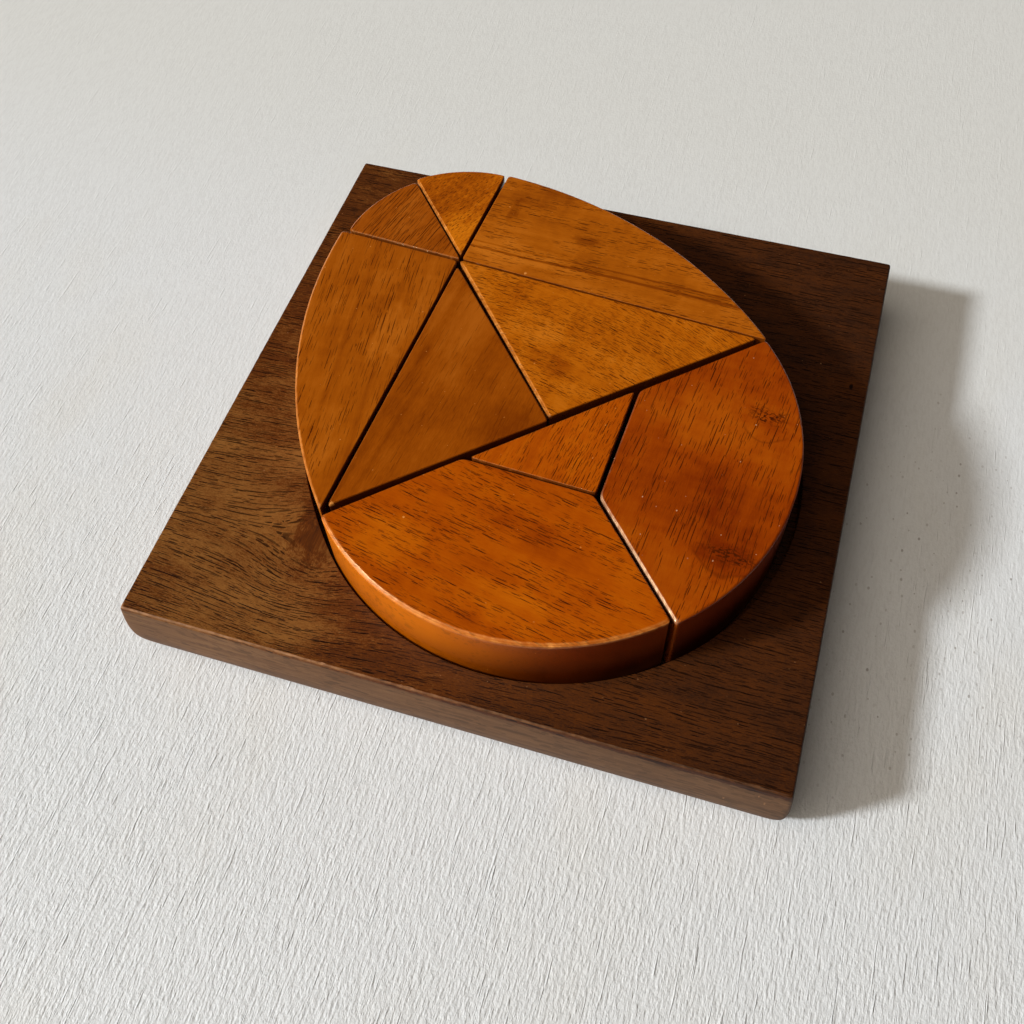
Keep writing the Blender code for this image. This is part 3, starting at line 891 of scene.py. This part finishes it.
def lower_right_stain():
    """Red orange, with long thin lines up the tray, and two rough dark specks of knots, each beside a growth
    line. Its outer wall is painted dark, as the shade it lies in."""
    wood = Finish("lower_right_stain", grain=84, board=10)
    specks = wood.most(speckle(wood, 49.3, 3.6, length=4.4, width=8),
                       speckle(wood, 48.6, -31.6, length=4.2, width=11))
    line, below = growth_line(wood, 47.5, -28, radius=8, wobble=6, side=-1)
    loop, _ = growth_line(wood, 49.5, 2, radius=4.5, wobble=4, side=-1)
    halo = wood.sum(wood.patch(49.3, 3.6, length=6, width=11, amount=-0.16),
                    wood.patch(48.6, -31.6, length=6, width=13, amount=-0.16))
    wood.wander(sway=1.8)
    tone = wood.sum(wood.figure(streaks=0.4, clouds=0.35, ripples=0.35, fibres=0.25),
                    wood.times(below, 0.15), halo,
                    wood.patch(44, -23, length=26, width=34, amount=-0.14),
                    wood.patch(42, -2, length=20, width=34, amount=0.22))
    lines = wood.pores(length=7.5, width=0.24, along=5.6, across=1.2, bare=0.47)
    dashes = wood.pores(length=2.6, width=0.22, along=3.0, across=0.95, faint=0.27, dark=0.9, bare=0.47)
    tones = ((0.18, 0.0197, 0.0003), (0.302, 0.0445, 0.0005), (0.397, 0.0765, 0.0016))
    # Painted highlight: the pale cream rubbed colour lights its lower left edge, which faces the lamp.
    return stained(wood, tone, tones, lines, dashes, specks, wood.times(wood.most(line, loop), 0.3),
                   wall_colour=SHADED_WALL, shaded_foot_colour=SHADED_FOOT, worn_colour=(0.92, 0.60, 0.35))


loose_piece("lower_left_piece", [BOTTOM, SMALL_POINT, SMALL_LEFT, LEFT_END], [(MIDDLE, EGG_RADIUS)],
            eases=(0.15, 0.2, 0.2, 0.55), rubs_and_highlights=(0.0, 0.05, 0.05, 0.5), taken=0.35, turn=42.61,
            slid=(-0.44, 0.49), wood=lower_left_stain(), seed=90)
loose_piece("lower_right_piece", [RIGHT_END, SMALL_RIGHT, SMALL_POINT, BOTTOM], [(MIDDLE, EGG_RADIUS)],
            eases=(0.2, 0.25, 0.36, 0.3), rubs_and_highlights=(0.0, 0.05, 0.7, 0.0), taken=0.34, turn=42.33,
            slid=(-0.16, -0.36), wood=lower_right_stain(), seed=100)


# The table, the light and the view
# A plain table top under thick white paint, brushed one way. One small lamp stands low on the left,
# a little in front, and a pale ceiling lights the shadows softly. The walls are dim, the far one less so.

FLOOR_HALF = 3.0
FLOOR_COLOUR = (0.708, 0.722, 0.722)
FLOOR_STAINED = (0.985, 0.965, 0.93)
FLOOR_FAR = (0.97, 0.955, 0.915)
DIRT_AND_SHADE_COLOUR = (0.25, 0.22, 0.19)
KEY_HEIGHT = math.radians(32.0)
KEY_SIDE = math.radians(209.6)
KEY_DISTANCE = 8.0
KEY_SIZE = 1.0
KEY_POWER = 708.0
KEY_COLOUR = (0.96, 1.0, 1.04)
CEILING = (-0.375, -0.375, 0.848)
CEILING_OUTSIDE = math.cos(math.radians(36))
CEILING_INSIDE = math.cos(math.radians(15))
CEILING_BRIGHT = 2.15
ROOM_COLOUR = (1.0, 0.88, 0.75)
ROOM_DIM = 0.02
FAR_WALL_DIM = 0.05
FAR_WALL_BEGINS = 0.1
FAR_WALL_FULL = 0.75
CAMERA_PLACE = (0.0450, -0.1424, 0.2199)
CAMERA_TURN = (31.726, 1.841, 17.398)
CAMERA_LENS = 38.61
CAMERA_SENSOR = 36.0
CAMERA_NEAREST = 0.005


def brushed_paint():
    """White paint with ridges, grains and a few bolder streaks of the brush, up and down the table. They
    flatten, and the paint yellows a little, towards the back. The hollows are darkened a little, with dirt
    and painted shade together, and on the right lie specks of dirt."""
    paint = Finish("brushed_paint", grain=90, board=12)
    away = paint.split(paint.at)[0]
    ridges = paint.noise(size=(2.6, 0.58, 1), detail=3.0)
    streaks = paint.between(paint.noise(size=(9, 0.6, 1), detail=1.0), 0.66, 0.78)
    grains = paint.noise(size=(0.8, 0.5, 1), detail=1.0)
    height = paint.times(paint.between(away, -140.0, 80.0, to_low=1.0, to_high=0.18),
                         paint.sum(ridges, paint.times(streaks, 0.5), paint.times(grains, 0.6)))
    relief = paint.node("ShaderNodeBump")
    paint.put(relief, Height=height, Strength=1.0, Distance=0.30 * MM)
    stains = paint.between(paint.noise(size=(60, 30, 1), detail=3.0), 0.45, 0.8)
    specks = paint.times(paint.pores(length=0.8, width=0.55, along=4, across=3.4, faint=0.0, bare=0.45),
                         paint.patch(100, -10, length=140, width=80, amount=0.7))
    stained_paint = tuple(c * s for c, s in zip(FLOOR_COLOUR, FLOOR_STAINED))
    far_paint = tuple(c * s for c, s in zip(FLOOR_COLOUR, FLOOR_FAR))
    colour = paint.mixed(stains, FLOOR_COLOUR, stained_paint)
    colour = paint.mixed(paint.between(away, 20.0, 140.0), colour, far_paint)
    # Painted shade and dirt: the hollows between the ridges are darkened a little.
    colour = paint.mixed(paint.between(ridges, 0.3, 0.6, to_low=0.08, to_high=0.0), colour, DIRT_AND_SHADE_COLOUR)
    colour = paint.mixed(specks, colour, DIRT_AND_SHADE_COLOUR)
    paint.put(paint.shader, Base_Color=colour, Roughness=0.6, Normal=relief.outputs["Normal"])
    return paint.material


def soft_room():
    """Light from all round by its direction: a bright round patch of ceiling that fades at its edge into dim
    walls, of which the far one is a little brighter. The camera itself sees a plain pale backdrop."""
    room = bpy.data.worlds.new("room")
    room.use_nodes = True
    light = Nodes(room.node_tree)
    looking = light.node("ShaderNodeTexCoord").outputs["Generated"]
    dim = light.between(light.split(looking)["Y"], FAR_WALL_BEGINS, FAR_WALL_FULL,
                        to_low=ROOM_DIM, to_high=FAR_WALL_DIM)
    towards = light.vector("DOT_PRODUCT", looking, CEILING)
    strength = light.between(towards, CEILING_OUTSIDE, CEILING_INSIDE, to_low=dim, to_high=CEILING_BRIGHT)
    walls = room.node_tree.nodes["Background"]
    light.put(walls, Color=(*ROOM_COLOUR, 1), Strength=strength)
    backdrop = light.node("ShaderNodeBackground")
    light.put(backdrop, Color=(*FLOOR_COLOUR, 1))
    seen = light.node("ShaderNodeMixShader")
    light.put(seen, Fac=light.node("ShaderNodeLightPath").outputs["Is Camera Ray"])
    light.set_input(seen.inputs[1], walls.outputs["Background"])
    light.set_input(seen.inputs[2], backdrop.outputs["Background"])
    light.put(room.node_tree.nodes["World Output"], Surface=seen.outputs["Shader"])
    return room


corners = [(x * FLOOR_HALF, y * FLOOR_HALF, 0) for x, y in ((-1, -1), (1, -1), (1, 1), (-1, 1))]
floor_mesh = bpy.data.meshes.new("table_top")
floor_mesh.from_pydata(corners, [], [(0, 1, 2, 3)])
floor_mesh.materials.append(brushed_paint())
floor = bpy.data.objects.new("table_top", floor_mesh)
bpy.context.scene.collection.objects.link(floor)

key = bpy.data.objects.new("key_lamp", bpy.data.lights.new("key_lamp", "AREA"))
key.data.shape = "DISK"
key.data.size = KEY_SIZE
key.data.energy = KEY_POWER
key.data.color = KEY_COLOUR
along_floor = KEY_DISTANCE * math.cos(KEY_HEIGHT)
key.location = (along_floor * math.cos(KEY_SIDE), along_floor * math.sin(KEY_SIDE),
                KEY_DISTANCE * math.sin(KEY_HEIGHT))
key.rotation_euler = (-key.location).to_track_quat("-Z", "Y").to_euler()
bpy.context.scene.collection.objects.link(key)
bpy.context.scene.world = soft_room()

camera = bpy.data.objects.new("camera", bpy.data.cameras.new("camera"))
camera.data.lens = CAMERA_LENS
camera.data.sensor_width = CAMERA_SENSOR
camera.data.clip_start = CAMERA_NEAREST
camera.location = CAMERA_PLACE
camera.rotation_euler = [math.radians(a) for a in CAMERA_TURN]
bpy.context.scene.collection.objects.link(camera)
bpy.context.scene.camera = camera
bpy.context.scene.view_settings.view_transform = "Standard"
